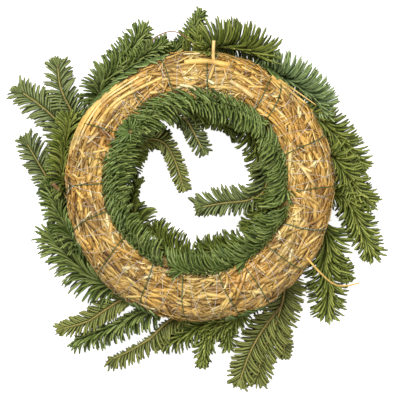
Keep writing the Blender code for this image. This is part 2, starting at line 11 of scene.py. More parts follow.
import bpy
import numpy as np
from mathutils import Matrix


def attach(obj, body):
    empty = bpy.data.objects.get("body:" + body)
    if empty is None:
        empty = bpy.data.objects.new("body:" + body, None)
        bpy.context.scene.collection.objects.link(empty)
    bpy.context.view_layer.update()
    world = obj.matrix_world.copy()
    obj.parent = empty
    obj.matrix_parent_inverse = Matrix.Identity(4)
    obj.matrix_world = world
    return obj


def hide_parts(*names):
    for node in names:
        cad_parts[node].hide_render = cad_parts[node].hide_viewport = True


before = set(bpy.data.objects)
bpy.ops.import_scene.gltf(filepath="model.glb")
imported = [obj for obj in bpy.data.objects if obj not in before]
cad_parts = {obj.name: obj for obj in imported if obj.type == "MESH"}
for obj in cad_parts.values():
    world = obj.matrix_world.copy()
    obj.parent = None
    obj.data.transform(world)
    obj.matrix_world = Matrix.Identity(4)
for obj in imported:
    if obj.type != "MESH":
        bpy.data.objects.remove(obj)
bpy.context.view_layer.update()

# The straw ring, as in the solids
RING_X = 0.0023
RING_Y = 0.0113
RING_RADIUS = 0.100
TUBE_RADIUS = 0.025
TUBE_HEIGHT = 0.057

# Twigs: the middle line is that of the solids, the bark slimmer
TWIG_ROOT = 0.0012
TWIG_TIP = 0.0007
TWIG_STEP = 0.0052
SEAT = 0.00125
STEM_ROWS = 3
ON_STRAW = 0.028
TURN_RUN = 0.014

# The photograph shows 0.94 mm to a pixel at this height, and its middle lies here
VIEW_WIDTH = 0.376
VIEW_X = 0.0025
VIEW_Y = -0.0011
VIEW_HEIGHT = 0.045
CAMERA_HEIGHT = 2.5
SENSOR = 36


def unit(vectors):
    return vectors / np.maximum(np.linalg.norm(vectors, axis=-1, keepdims=True), 1e-12)


def ring_point(angle, radius, height):
    turn = np.radians(angle)
    return np.stack(
        [
            RING_X + radius * np.cos(turn),
            RING_Y + radius * np.sin(turn),
            np.broadcast_to(height, np.shape(turn)).astype(float),
        ],
        axis=-1,
    )


def round_tube(angle, section, distance):
    """Points this far from the middle line of the straw tube."""
    lean = np.radians(section)
    radius = RING_RADIUS + distance * np.cos(lean)
    return ring_point(angle, radius, TUBE_HEIGHT + distance * np.sin(lean))


def from_tube(points):
    """Vectors from the straw tube's middle line to these points."""
    flat = points - np.array([RING_X, RING_Y, TUBE_HEIGHT])
    middle = flat * [1, 1, 0]
    return flat - RING_RADIUS * unit(middle)


def bulge(angle, section):
    """How far the straw stands out beyond its even round, in metres."""
    a = np.radians(angle)
    s = np.radians(section)
    low = np.sin(5 * a + 1.3 * np.sin(s)) + 0.7 * np.sin(11 * a - 2 * s + 1)
    return 0.0009 * (low + 0.5 * np.sin(23 * a + 3 * s))


def smooth(points, step):
    """Points about this step apart on a Catmull-Rom curve through the given points."""
    points = np.array(points, float)
    first = 2 * points[0] - points[1]
    last = 2 * points[-1] - points[-2]
    knots = np.vstack([first, points, last])
    along = np.linspace(0, 1, 12, endpoint=False)[:, None]
    pieces = []
    for a, b, c, d in zip(knots, knots[1:], knots[2:], knots[3:]):
        bend = 2 * a - 5 * b + 4 * c - d
        twist = 3 * b - a - 3 * c + d
        pieces.append(b + 0.5 * along * (c - a + along * (bend + along * twist)))
    fine = np.vstack([*pieces, points[-1:]])
    way = np.concatenate([[0], np.cumsum(np.linalg.norm(np.diff(fine, axis=0), axis=1))])
    even = np.linspace(0, way[-1], max(3, round(way[-1] / step) + 1))
    return np.stack([np.interp(even, way, fine[:, axis]) for axis in range(3)], axis=1)


# ---- meshes ----


class Build:
    """Points, faces and looks gathered for one object."""

    def __init__(self):
        self.points = []
        self.looks = []
        self.faces = []
        self.count = 0

    def add(self, points, faces, looks, slot=0):
        """faces: arrays of vertex numbers, one array for each number of sides."""
        self.points.append(points.reshape(-1, 3))
        self.looks.append(looks.reshape(-1, 3))
        for group in faces:
            self.faces.append((group + self.count, slot))
        self.count += len(self.points[-1])

    def make(self, name, materials):
        points = np.concatenate(self.points)
        corners = np.concatenate([group.ravel() for group, _ in self.faces])
        sides = np.concatenate([np.full(len(group), group.shape[1]) for group, _ in self.faces])
        slots = np.concatenate([np.full(len(group), slot) for group, slot in self.faces])
        mesh = bpy.data.meshes.new(name)
        mesh.vertices.add(len(points))
        mesh.vertices.foreach_set("co", points.astype(np.float32).ravel())
        mesh.loops.add(len(corners))
        mesh.loops.foreach_set("vertex_index", corners.astype(np.int32))
        mesh.polygons.add(len(sides))
        starts = np.concatenate([[0], np.cumsum(sides)[:-1]])
        mesh.polygons.foreach_set("loop_start", starts.astype(np.int32))
        mesh.polygons.foreach_set("material_index", slots.astype(np.int32))
        mesh.update(calc_edges=True)
        layer = mesh.attributes.new("look", "FLOAT_VECTOR", "POINT")
        layer.data.foreach_set("vector", np.concatenate(self.looks).astype(np.float32).ravel())
        for material in materials:
            mesh.materials.append(material)
        mesh.shade_smooth()
        thing = bpy.data.objects.new(name, mesh)
        bpy.context.scene.collection.objects.link(thing)
        return thing


def grid_faces(rows, sides):
    """The sides and the two ends of a closed tube."""
    row, side = np.meshgrid(np.arange(rows - 1), np.arange(sides), indexing="ij")
    a = (row * sides + side).ravel()
    b = (row * sides + (side + 1) % sides).ravel()
    walls = np.stack([a, b, b + sides, a + sides], axis=1)
    first = np.arange(sides)[None, ::-1]
    return walls, first, first[:, ::-1] + (rows - 1) * sides


def add_tube(build, points, radii, sides, looks, slot=0, up=None):
    """A round tube along these points. looks has one row for each point."""
    points = np.array(points)
    radii = np.broadcast_to(radii, len(points))
    ways = unit(np.gradient(points, axis=0))
    if up is None:
        up = from_tube(points)
    side = unit(np.cross(ways, up))
    up = np.cross(side, ways)
    turn = math.tau * (np.arange(sides) + 0.5) / sides
    ring = np.cos(turn)[None, :, None] * up[:, None] + np.sin(turn)[None, :, None] * side[:, None]
    verts = points[:, None] + radii[:, None, None] * ring
    looks = np.repeat(np.asarray(looks, float)[:, None], sides, axis=1)
    build.add(verts, grid_faces(len(points), sides), looks, slot)


def add_strips(build, centres, wide, high, looks, slot=0):
    """Many slim pieces at once: (piece, ring, 3) middles, with half widths as vectors."""
    count, rings = centres.shape[:2]
    corners = np.stack([centres + wide, centres + high, centres - wide, centres - high], axis=2)
    walls, first, last = grid_faces(rings, 4)
    ends = np.concatenate([first, last])
    shift = (np.arange(count) * rings * 4)[:, None, None]
    groups = [(walls + shift).reshape(-1, 4), (ends + shift).reshape(-1, 4)]
    build.add(corners, groups, looks, slot)


# ---- materials ----


class Nodes:
    """A Principled material and short ways to add nodes to it."""

    def __init__(self, name, roughness):
        self.material = bpy.data.materials.new(name)
        self.material.use_nodes = True
        self.tree = self.material.node_tree
        self.shader = self.tree.nodes["Principled BSDF"]
        self.shader.inputs["Roughness"].default_value = roughness

    def add(self, kind, inputs=(), **settings):
        node = self.tree.nodes.new(kind)
        for key, value in settings.items():
            setattr(node, key, value)
        for key, value in dict(inputs).items():
            if isinstance(value, bpy.types.NodeSocket):
                self.tree.links.new(value, node.inputs[key])
            else:
                node.inputs[key].default_value = value
        return node

    def look(self):
        """The three values that each mesh carries in its look attribute."""
        node = self.add("ShaderNodeAttribute", attribute_name="look")
        return self.add("ShaderNodeSeparateXYZ", {0: node.outputs["Vector"]}).outputs

    def ramp(self, factor, stops):
        node = self.add("ShaderNodeValToRGB", {0: factor})
        elements = node.color_ramp.elements
        while len(elements) < len(stops):
            elements.new(0.5)
        for element, (place, color) in zip(elements, stops):
            element.position = place
            element.color = (*color, 1)
        return node.outputs[0]

    def mix(self, factor, one, other, blend="MIX"):
        node = self.add("ShaderNodeMix", data_type="RGBA", blend_type=blend)
        for key, value in ((0, factor), (6, one), (7, other)):
            if isinstance(value, bpy.types.NodeSocket):
                self.tree.links.new(value, node.inputs[key])
            else:
                node.inputs[key].default_value = value
        return node.outputs[2]

    def math(self, operation, one, other):
        return self.add("ShaderNodeMath", {0: one, 1: other}, operation=operation).outputs[0]

    def noise(self, scale, detail=2.0, vector=None):
        inputs = {"Scale": scale, "Detail": detail}
        if vector is None:
            vector = self.add("ShaderNodeTexCoord").outputs["Object"]
        inputs["Vector"] = vector
        return self.add("ShaderNodeTexNoise", inputs).outputs[0]

    def link(self, output, name):
        self.tree.links.new(output, self.shader.inputs[name])

    def bump(self, height, strength, distance):
        inputs = {"Height": height, "Strength": strength, "Distance": distance}
        self.link(self.add("ShaderNodeBump", inputs).outputs[0], "Normal")


def needle_material(name, dark, mid, light, pale):
    """look: under side, shade, distance along the needle."""
    nodes = Nodes(name, 0.45)
    under, shade, along = nodes.look()
    top = nodes.ramp(shade, ((0.0, dark), (0.5, mid), (1.0, light)))
    below = nodes.ramp(shade, ((0.0, tuple(0.45 * part for part in pale)), (1.0, pale)))
    side = nodes.ramp(under, ((0.45, (0, 0, 0)), (0.55, (1, 1, 1))))
    color = nodes.mix(side, top, below)
    # Across each needle: on its top side a painted highlight along the ridge and painted shade at the edges; on its
    # under side pale bands and a darker midrib
    ridge_light_and_band_levels = ((0.0, 1.30), (0.22, 1.05), (0.5, 0.55), (0.72, 1.05), (0.88, 1.10), (1.0, 0.85))
    ridge_light_and_bands = nodes.ramp(under, tuple((place, (value,) * 3) for place, value in ridge_light_and_band_levels))
    color = nodes.mix(1.0, color, ridge_light_and_bands, "MULTIPLY")
    # Along each needle: painted shade darkens its base, where it sits among the others by the twig; towards the tip
    # it is a little paler and yellower
    base = nodes.ramp(along, ((0.0, (0.50, 0.50, 0.35)), (0.3, (1, 1, 1)), (1.0, (1.15, 1.10, 0.95))))
    color = nodes.mix(1.0, color, base, "MULTIPLY")
    spots = nodes.ramp(nodes.noise(260.0, 3.0), ((0.3, (0.80, 0.83, 0.75)), (0.7, (1.15, 1.1, 1.1))))
    nodes.link(nodes.mix(0.8, color, spots, "MULTIPLY"), "Base Color")
    nodes.shader.inputs["Specular IOR Level"].default_value = 0.35
    nodes.bump(nodes.noise(900.0, 2.0), 0.25, 0.0004)
    return nodes.material


def twig_material():
    """look: distance along the twig, chance, bud."""
    nodes = Nodes("twig_bark", 0.6)
    along, chance, bud = nodes.look()
    young = nodes.ramp(
        along, ((0.0, (0.16, 0.10, 0.035)), (0.35, (0.27, 0.20, 0.045)), (1.0, (0.30, 0.27, 0.07)))
    )
    bark = nodes.ramp(nodes.noise(700.0, 3.0), ((0.3, (0.6, 0.6, 0.55)), (0.7, (1.2, 1.15, 1.1))))
    color = nodes.mix(1.0, young, bark, "MULTIPLY")
    nodes.link(nodes.mix(bud, color, (0.22, 0.10, 0.04, 1)), "Base Color")
    nodes.bump(nodes.noise(1200.0, 3.0), 0.5, 0.0006)
    return nodes.material


def straw_material():
    """look: shade, metres along the straw, side of the straw."""
    nodes = Nodes("straw_stalks", 0.42)
    shade, along, side = nodes.look()
    color = nodes.ramp(
        shade,
        (
            (0.0, (0.13, 0.065, 0.018)),
            (0.25, (0.34, 0.20, 0.055)),
            (0.55, (0.60, 0.40, 0.115)),
            (0.8, (0.74, 0.56, 0.20)),
            (1.0, (0.84, 0.77, 0.50)),
        ),
    )
    place = nodes.add(
        "ShaderNodeCombineXYZ",
        {0: nodes.math("MULTIPLY", along, 60.0), 1: nodes.math("MULTIPLY", side, 6.0), 2: shade},
    )
    streaks = nodes.noise(3.0, 4.0, place.outputs[0])
    light = nodes.ramp(streaks, ((0.25, (0.72, 0.67, 0.58)), (0.6, (1.06, 1.05, 1.02))))
    color = nodes.mix(1.0, color, light, "MULTIPLY")
    gold = nodes.ramp(nodes.noise(22.0, 2.0), ((0.35, (1.05, 0.90, 0.62)), (0.6, (1.0, 1.02, 1.04))))
    color = nodes.mix(1.0, color, gold, "MULTIPLY")
    stain = nodes.ramp(nodes.noise(60.0, 3.0), ((0.33, (0.66, 0.57, 0.46)), (0.56, (1.08, 1.05, 1.0))))
    nodes.link(nodes.mix(1.0, color, stain, "MULTIPLY"), "Base Color")
    nodes.shader.inputs["Specular IOR Level"].default_value = 0.5
    nodes.bump(streaks, 0.4, 0.0005)
    return nodes.material


def core_material():
    # The packed straw under the loose straws, drawn much darker than they are: painted shade in the gaps between
    # them
    nodes = Nodes("packed_straw_painted_shade", 0.8)
    chaff = nodes.noise(160.0, 4.0)
    color = nodes.ramp(
        chaff, ((0.3, (0.12, 0.065, 0.022)), (0.5, (0.26, 0.16, 0.055)), (0.75, (0.45, 0.30, 0.10)))
    )
    nodes.link(color, "Base Color")
    nodes.bump(chaff, 0.8, 0.002)
    return nodes.material


def plain_material(name, color, roughness, grain, specular=0.5):
    """One colour, with fine mottling at this scale."""
    nodes = Nodes(name, roughness)
    spots = nodes.ramp(nodes.noise(grain, 2.0), ((0.3, (0.72, 0.72, 0.72)), (0.7, (1.2, 1.2, 1.2))))
    nodes.link(nodes.mix(1.0, (*color, 1), spots, "MULTIPLY"), "Base Color")
    nodes.shader.inputs["Specular IOR Level"].default_value = specular
    return nodes.material


# ---- fir ----

# How needles stand: the angle from the twig and how far they bend to both sides of it, where
# the first and last of their rows lie round the twig and how many rows there are, the step
# along a row, the bare start of the stem, and which side is up, 1 the green and -1 the pale
Kind = collections.namedtuple("Kind", "sweep bend low high rows step bare face")
KINDS = {
    "sprig": Kind(62, 18, -96, 96, 7, 0.0031, 0.010, -1),
    "twig": Kind(50, 14, -92, 92, 7, 0.0033, 0.010, -1),
    "frond": Kind(66, 24, -158, 158, 12, 0.0036, 0.010, 1),
    "trail": Kind(46, 18, -158, 158, 11, 0.0036, 0.010, 1),
    "comb": Kind(82, 18, -95, 150, 12, 0.0030, 0.006, 1),
    "shoulder": Kind(60, 36, -80, 118, 9, 0.0038, 0.003, 1),
    "lining": Kind(62, 34, -155, 125, 11, 0.0037, 0.006, 1),
    "low": Kind(64, 20, -158, 158, 10, 0.0042, 0.010, 1),
}

# A twig: its kind, needle length, the angle and section where its stem starts on the straw,
# the run of the stem, the points it goes on through, how long its last needles are to its
# first, and how long those on its inner side are to the others
Stem = collections.namedtuple(
    "Stem", "kind length start section run points taper far_side", defaults=(0.85, 1.0)
)
# A fork starts part of the way along the spray's first twig
Fork = collections.namedtuple(
    "Fork", "kind length part points taper far_side", defaults=(0.85, 1.0)
)

# Each spray: its tone from dark 0 to pale 1, how yellow it is, and its twigs
OUTER = (
    (0.50, 0.40, Stem("sprig", 0.024, 183, 300, 8, [(168, 0.125, 0.036), (156, 0.146, 0.036), (153, 0.169, 0.034), (152, 0.190, 0.031)], 0.76)),
    (0.48, 0.40, Stem("sprig", 0.020, 164, 296, 5, [(151, 0.134, 0.036), (147, 0.151, 0.037), (144, 0.163, 0.036), (140, 0.175, 0.034)])),
    (0.52, 0.35, Stem("frond", 0.026, 148, 304, 8, [(136, 0.131, 0.040), (127, 0.136, 0.038), (118, 0.143, 0.034), (111, 0.154, 0.029)], 0.75, 0.8),
     Fork("frond", 0.016, 0.45, [(120, 0.131, 0.041), (112, 0.135, 0.043), (105, 0.138, 0.043)])),
    (0.44, 0.30, Stem("frond", 0.013, 120, 292, 8, [(108, 0.126, 0.036), (99, 0.132, 0.033), (94, 0.144, 0.030), (90, 0.162, 0.027)])),
    (0.46, 0.50, Stem("comb", 0.033, 101, 328, 12, [(84, 0.1310, 0.051), (77, 0.1335, 0.051), (71, 0.1345, 0.050), (65, 0.1345, 0.048)])),
    (0.98, 0.05, Stem("comb", 0.028, 70, 322, 8, [(53, 0.129, 0.047), (46, 0.132, 0.047), (40, 0.134, 0.046), (34, 0.135, 0.044)])),
    (0.54, 0.55, Stem("frond", 0.025, 45, 317, 8, [(30, 0.129, 0.038), (22, 0.136, 0.036), (15, 0.143, 0.034), (9, 0.149, 0.032)])),
    (0.54, 0.60, Stem("frond", 0.024, 24, 319, 8, [(13, 0.128, 0.044), (6, 0.137, 0.042), (0, 0.145, 0.038), (-4, 0.155, 0.034)])),
    (0.52, 0.50, Stem("frond", 0.026, 6, 296, 8, [(-2, 0.131, 0.036), (-8, 0.145, 0.034), (-15, 0.158, 0.031), (-20, 0.171, 0.028)], 0.80, 0.85)),
    (0.50, 0.60, Stem("frond", 0.033, -11, 325, 5, [(-22, 0.129, 0.038), (-29, 0.135, 0.036), (-36, 0.149, 0.032), (-43, 0.165, 0.028)], 0.68),
     Fork("frond", 0.013, 0.42, [(-27, 0.140, 0.035), (-28.5, 0.151, 0.033), (-31, 0.162, 0.030)])),
    (0.44, 0.50, Stem("sprig", 0.027, -36, 292, 8, [(-52, 0.129, 0.036), (-62, 0.150, 0.034), (-69, 0.167, 0.031), (-73, 0.187, 0.027)], 0.68),
     Fork("sprig", 0.020, 0.42, [(-66, 0.147, 0.036), (-73, 0.163, 0.036), (-78, 0.185, 0.033)]),
     Fork("sprig", 0.012, 0.34, [(-59, 0.148, 0.031), (-61, 0.163, 0.027), (-63, 0.177, 0.023)])),
    (0.48, 0.55, Stem("trail", 0.022, -58, 302, 12, [(-74, 0.127, 0.040), (-84, 0.135, 0.038), (-88, 0.149, 0.034), (-89, 0.163, 0.029)], 0.62),
     Fork("frond", 0.020, 0.40, [(-90, 0.132, 0.036), (-97, 0.142, 0.031), (-103, 0.150, 0.026)]),
     Fork("frond", 0.014, 0.35, [(-78, 0.133, 0.037), (-79, 0.142, 0.034), (-80, 0.151, 0.030)])),
    (0.44, 0.50, Stem("sprig", 0.018, -88, 315, 5, [(-103, 0.130, 0.037), (-108, 0.150, 0.035), (-113, 0.168, 0.032), (-117, 0.183, 0.028)], 0.85, 0.05)),
    (0.50, 0.35, Stem("frond", 0.025, -101, 310, 5, [(-115, 0.130, 0.035), (-121, 0.151, 0.033), (-125, 0.167, 0.030), (-128, 0.182, 0.026)], 0.75, 0.15)),
    (0.52, 0.80, Stem("twig", 0.019, -115, 322, 5, [(-125, 0.131, 0.041), (-128, 0.150, 0.041), (-130, 0.166, 0.039), (-134, 0.186, 0.036)], 0.62)),
    (0.54, 0.35, Stem("frond", 0.031, -122, 314, 5, [(-137, 0.130, 0.038), (-146, 0.136, 0.036), (-154, 0.141, 0.033), (-160, 0.147, 0.028)], 0.80)),
    (0.50, 0.40, Stem("frond", 0.020, -146, 328, 8, [(-157, 0.128, 0.044), (-166, 0.133, 0.042), (-173, 0.137, 0.038), (-179, 0.141, 0.034)])),
    (0.34, 0.35, Stem("sprig", 0.018, -158, 300, 5, [(-172, 0.129, 0.030), (-181, 0.141, 0.025), (-189, 0.156, 0.023), (-194, 0.169, 0.021)], 0.85, 1.3)),
    (0.52, 0.60, Stem("frond", 0.022, 188, 320, 8, [(178, 0.128, 0.045), (169, 0.131, 0.046), (161, 0.133, 0.047), (154, 0.136, 0.048)])),
)
SPRIGS = (
    (0.50, 0.50, Stem("sprig", 0.012, 168, 200, 8, [(151, 0.0735, 0.047), (140, 0.0680, 0.046), (132, 0.0595, 0.046), (129, 0.0500, 0.045), (133, 0.0350, 0.044), (144, 0.0245, 0.043), (178, 0.0155, 0.041)])),
    (0.50, 0.35, Stem("sprig", 0.017, 42, 192, 8, [(25, 0.0735, 0.047), (14, 0.0670, 0.046), (3, 0.0630, 0.045), (-7, 0.0580, 0.044), (-17, 0.0450, 0.043), (-32, 0.0285, 0.041), (-84, 0.0190, 0.040)], 0.8, 1.35)),
    (0.24, 0.30, Stem("sprig", 0.014, 126, 195, 8, [(111, 0.0725, 0.050), (102, 0.0645, 0.050), (97, 0.0530, 0.050), (92, 0.0430, 0.049), (86, 0.0360, 0.048)])),
)

# Rows of alike sprays: (start, section, run) of each stem, then what they share
Row = collections.namedtuple("Row", "tone yellow kind length stems points")
ROWS = {
    "inner_upper_spray": Row(
        0.44, 0.45, "shoulder", 0.029,
        ((99, 137, 8), (45, 145, 8), (-10, 129, 8), (-55, 145, 8), (-113, 137, 8), (-161, 145, 5), (-207, 145, 8)),
        ((-16, 0.0803, 0.0753), (-30, 0.0803, 0.0753), (-46, 0.0803, 0.0753)),
    ),
    "inner_lower_spray": Row(
        0.40, 0.50, "lining", 0.022,
        ((112, 202, 12), (66, 210, 8), (14, 210, 8), (-34, 194, 12), (-82, 210, 8), (-130, 210, 8), (-181, 210, 8)),
        ((-20, 0.0715, 0.039), (-35, 0.066, 0.036), (-50, 0.060, 0.034)),
    ),
    "face_spray": Row(
        0.40, 0.35, "low", 0.032,
        ((90, 284, 8), (44, 252, 12), (7, 284, 8), (-33, 252, 8), (-79, 284, 12), (-113, 252, 8), (-156, 276, 5), (-196, 252, 8), (-227, 284, 8)),
        ((-18, 0.101, 0.0250), (-32, 0.103, 0.0200), (-46, 0.100, 0.0160)),
    ),
}
FACE_STAGGER = 0.010

# Needles: noble fir's are flat and blunt, and turn outward like a hockey stick
NEEDLE_WIDTH = 0.0025
NEEDLE_THICK = 0.0010
NEEDLE_AT = np.array([0.0, 0.20, 0.55, 0.90, 1.0])
NEEDLE_FAT = np.array([0.45, 0.90, 1.00, 0.85, 0.45])
CROWN_LOW = 0.38
# How much paler needles are drawn in rows that point up, and darker in rows that point down: painted light and
# shade by which way a row faces
ROW_FACING_PAINTED_SHADE = 0.24
CLEAR_OF_STRAW = 0.0268
FLOOR_ROOM = 0.0006
TIP_NEEDLES = 16

# The inner sprays cover the straw up to this radius: the mean, then its change to +X and +Y
EDGE = (0.0862, -0.0046, 0.0058)
# Their uppermost needles leave it in rows: how far in and how far up each row starts
MANTLE = ((0.0000, 0.0012), (0.0030, 0.0026), (0.0062, 0.0040))
MANTLE_STEP = 3.7
# How much paler the mantle's needles are drawn than the rows beneath them: painted light on the uppermost needles
MANTLE_PAINTED_LIGHT = 0.12
MANTLE_SPAN = 53
MANTLE_NEEDLE = 0.030
EDGE_LEAN = 0.62
EDGE_NEEDLE = 0.005
# and leave this outline of the hole open: (angle, radius)
HOLE = (
    (11, 0.042), (26, 0.045), (46, 0.048), (61, 0.055), (77, 0.053), (95, 0.046), (120, 0.044),
    (140, 0.056), (155, 0.054), (168, 0.052), (185, 0.060), (203, 0.043), (216, 0.042),
    (236, 0.039), (253, 0.041), (269, 0.040), (288, 0.044), (310, 0.042), (335, 0.047),
)
HOLE_LEAN = 0.88
# Needles over the straw's outer edge: (first angle, last angle, how many, their length)
EDGE_TUFTS = ((108, 152, 90, 0.017), (56, 62, 14, 0.016), (196, 212, 16, 0.012), (-128, -108, 22, 0.012), (-76, -60, 24, 0.014))
HOLE_LEAD = 8
HOLE_NEEDLES = (0.006, 0.034)


def stem_route(start, section, run, points):
    distance = TUBE_RADIUS + SEAT + 0.0007 * max(0, math.sin(math.radians(section)))
    stem = [round_tube(start - part * run, section, distance) for part in (0, 0.5, 1)]
    return stem + [ring_point(*point) for point in points]


class Twig:
    """A twig's middle line and the directions round it, as the solids have them."""

    def __init__(self, route):
        rings = smooth(route, TWIG_STEP)
        ways = unit(np.gradient(rings, axis=0))
        out = from_tube(rings)
        free = np.clip((np.linalg.norm(out, axis=1) - ON_STRAW) / TURN_RUN, 0, 1)[:, None]
        across = np.abs(np.sum(unit(out) * ways, axis=1, keepdims=True))
        away = unit((1 - free) * (1 - across) * unit(out) + (free + across) * [0, 0, -1])
        for row in range(STEM_ROWS, len(away)):
            away[row] = unit(away[row] + away[row - 1])
        self.rings = rings
        self.away = away
        self.length = np.linalg.norm(np.diff(rings, axis=0), axis=1).sum()
        self.middle = smooth(rings, 0.0016)

    def at(self, part):
        """Middle, way, away and side at these parts of the length."""
        rows = np.linspace(0, 1, len(self.middle))
        middle = np.stack([np.interp(part, rows, self.middle[:, k]) for k in range(3)], axis=-1)
        slope = np.gradient(self.middle, axis=0)
        way = unit(np.stack([np.interp(part, rows, slope[:, k]) for k in range(3)], axis=-1))
        rows = np.linspace(0, 1, len(self.away))
        away = np.stack([np.interp(part, rows, self.away[:, k]) for k in range(3)], axis=-1)
        side = unit(np.cross(way, away))
        return middle, way, np.cross(side, way), side


def push_clear(points):
    """Moves points out of the straw and up off the floor."""
    out = from_tube(points)
    gap = np.linalg.norm(out, axis=-1, keepdims=True)
    points = points + out / gap * np.maximum(0, CLEAR_OF_STRAW - gap)
    points[..., 2] = np.maximum(points[..., 2], FLOOR_ROOM)
    return points


def add_needles(build, chance, base, first, last, top, length, tone):
    """Needles that leave these bases in one direction and turn to another."""
    part = NEEDLE_AT[None, :, None]
    reach = length[:, None, None]
    turned = (last - first)[:, None]
    centres = base[:, None] + reach * (part * first[:, None] + 0.5 * part**2 * turned)
    centres = push_clear(centres)
    ways = unit(np.gradient(centres, axis=1))
    wide = unit(np.cross(ways, top[:, None]))
    high = np.cross(wide, ways)
    scale = chance.uniform(0.92, 1.10, len(base))[:, None, None] * NEEDLE_FAT[None, :, None]
    shade = np.clip(tone + chance.normal(0, 0.17, len(base)), 0, 1)
    looks = np.zeros((len(base), len(NEEDLE_AT), 4, 3))
    looks[..., 0] = np.array([0.5, 0.0, 0.5, 1.0])
    looks[..., 1] = shade[:, None, None]
    looks[..., 2] = NEEDLE_AT[None, :, None]
    add_strips(
        build, centres, 0.5 * NEEDLE_WIDTH * scale * wide, 0.5 * NEEDLE_THICK * scale * high, looks
    )


def add_bark(build, twig):
    """The twig itself, with the bud at its end."""
    count = len(twig.middle)
    along = np.linspace(0, 1, count)
    radii = TWIG_ROOT + (TWIG_TIP - TWIG_ROOT) * along
    radii = radii * (1 + 0.08 * np.sin(np.arange(count) * 2.4))
    end = twig.middle[-1]
    ahead = unit(end - twig.middle[-3])
    bud = end + ahead * np.array([0.0006, 0.0018, 0.0034, 0.0048, 0.0055])[:, None]
    points = np.vstack([twig.middle, bud])
    radii = np.concatenate([radii, [0.0011, 0.0015, 0.0013, 0.0007, 0.0002]])
    looks = np.zeros((len(points), 3))
    looks[:count, 0] = along
    looks[count:] = (1, 0.5, 1)
    up = np.vstack([twig.at(along)[2], np.repeat(twig.at(np.array([1.0]))[2], 5, axis=0)])
    add_tube(build, points, radii, 7, looks, 1, up)


def toward(sweep, way, out):
    """Directions at this many degrees from the way to the outside."""
    sweep = np.radians(sweep)[:, None]
    return np.cos(sweep) * way + np.sin(sweep) * out


def edge_reach(base):
    """How long a needle that points out over the bare straw may be."""
    flat = base[:, :2] - np.array([RING_X, RING_Y])
    radius = np.linalg.norm(flat, axis=1)
    edge = EDGE[0] + (EDGE[1] * flat[:, 0] + EDGE[2] * flat[:, 1]) / radius
    return np.maximum((edge - radius) / EDGE_LEAN, EDGE_NEEDLE)


def add_mantle(build, chance, start, stop, tone):
    """Needles that leave the edge of the bare straw clockwise and bend down into the hole."""
    for row, (inset, lift) in enumerate(MANTLE):
        number = int((start - stop) / MANTLE_STEP)
        order = np.arange(number) + row / len(MANTLE) + chance.uniform(-0.1, 0.1, number)
        angle = start - MANTLE_STEP * order
        a = np.radians(angle)
        edge = EDGE[0] + EDGE[1] * np.cos(a) + EDGE[2] * np.sin(a) - inset
        edge += chance.normal(0, 0.0005, number)
        section = np.degrees(np.arccos((edge - RING_RADIUS) / (TUBE_RADIUS + lift)))
        base = round_tube(angle, section, TUBE_RADIUS + lift)
        way = np.stack([np.sin(a), -np.cos(a), 0 * a], axis=1)
        inward = np.stack([-np.cos(a), -np.sin(a), 0 * a], axis=1)
        rise = chance.normal(10, 5, number)
        first = toward(rise, toward(chance.normal(20, 5, number), way, inward), np.array([0, 0, 1]))
        last = toward(-rise - 14, toward(chance.normal(92, 7, number), way, inward), np.array([0, 0, 1]))
        top = unit([0, 0, 1] + chance.normal(0, 0.18, (number, 3)))
        long = MANTLE_NEEDLE * chance.uniform(0.86, 1.05, number)
        # painted light: the mantle drawn paler than the needles beneath
        add_needles(build, chance, base, first, last, top, long, tone + MANTLE_PAINTED_LIGHT)


def hole_reach(base):
    """How long a needle on the lining's inner side has to be to end at the hole's outline."""
    flat = base[:, :2] - np.array([RING_X, RING_Y])
    radius = np.linalg.norm(flat, axis=1)
    angle = np.degrees(np.arctan2(flat[:, 1], flat[:, 0])) - HOLE_LEAD
    angles, edges = zip(*HOLE)
    edge = np.interp(angle, angles, edges, period=360)
    return np.clip((radius - edge) / HOLE_LEAN, *HOLE_NEEDLES)


